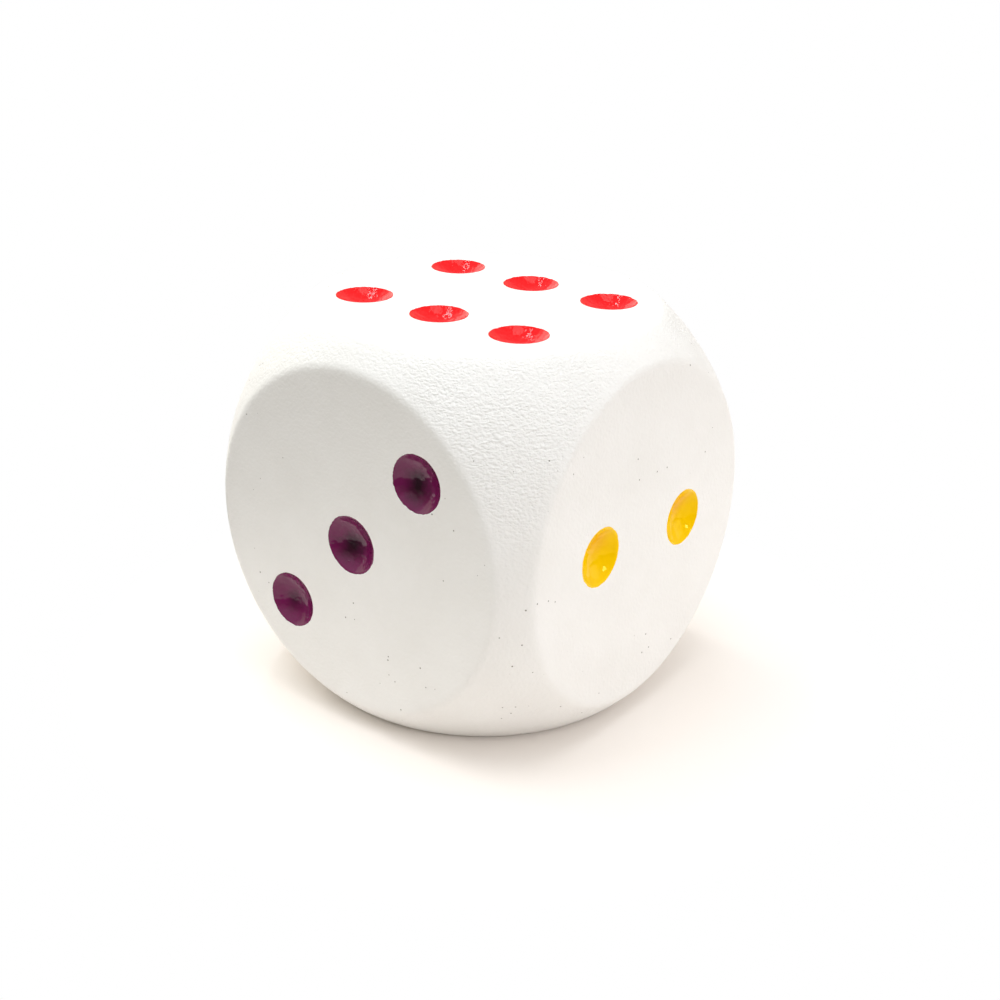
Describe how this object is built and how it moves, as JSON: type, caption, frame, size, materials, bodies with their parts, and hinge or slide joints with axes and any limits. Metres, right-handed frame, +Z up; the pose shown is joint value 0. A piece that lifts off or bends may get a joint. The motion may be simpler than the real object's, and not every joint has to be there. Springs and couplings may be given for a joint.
{
  "type": "yard dice",
  "caption": "Large wooden playing die for lawn games: a white painted cube turned to a sphere at its corners, with round scooped pips in coloured enamel.",
  "frame": {"origin": "centre of the flat face that the die stands on, the face with one pip", "axes": "+Z up, out of the six; +X out of the two; -Y out of the three"},
  "size_m": [0.089, 0.089, 0.089],
  "materials": {
    "white_paint": "satin white paint over wood grain",
    "blank_wood": "sanded hardwood, unseen under the paint",
    "red_enamel": "gloss enamel",
    "plum_enamel": "gloss enamel",
    "yellow_enamel": "gloss enamel",
    "blue_enamel": "gloss enamel",
    "green_enamel": "gloss enamel",
    "orange_enamel": "gloss enamel"
  },
  "bodies": {
    "root": {"white_coat": "white_paint", "bottom_board": "blank_wood", "lower_middle_board": "blank_wood", "upper_middle_board": "blank_wood", "top_board": "blank_wood", "pip_one": "blue_enamel", "pip_two_left": "yellow_enamel", "pip_two_right": "yellow_enamel", "pip_three_low": "plum_enamel", "pip_three_middle": "plum_enamel", "pip_three_high": "plum_enamel", "pip_four_low_left": "green_enamel", "pip_four_low_right": "green_enamel", "pip_four_high_left": "green_enamel", "pip_four_high_right": "green_enamel", "pip_five_low_left": "orange_enamel", "pip_five_low_right": "orange_enamel", "pip_five_middle": "orange_enamel", "pip_five_high_left": "orange_enamel", "pip_five_high_right": "orange_enamel", "pip_six_front_left": "red_enamel", "pip_six_front_middle": "red_enamel", "pip_six_front_right": "red_enamel", "pip_six_back_left": "red_enamel", "pip_six_back_middle": "red_enamel", "pip_six_back_right": "red_enamel"}
  },
  "joints": []
}
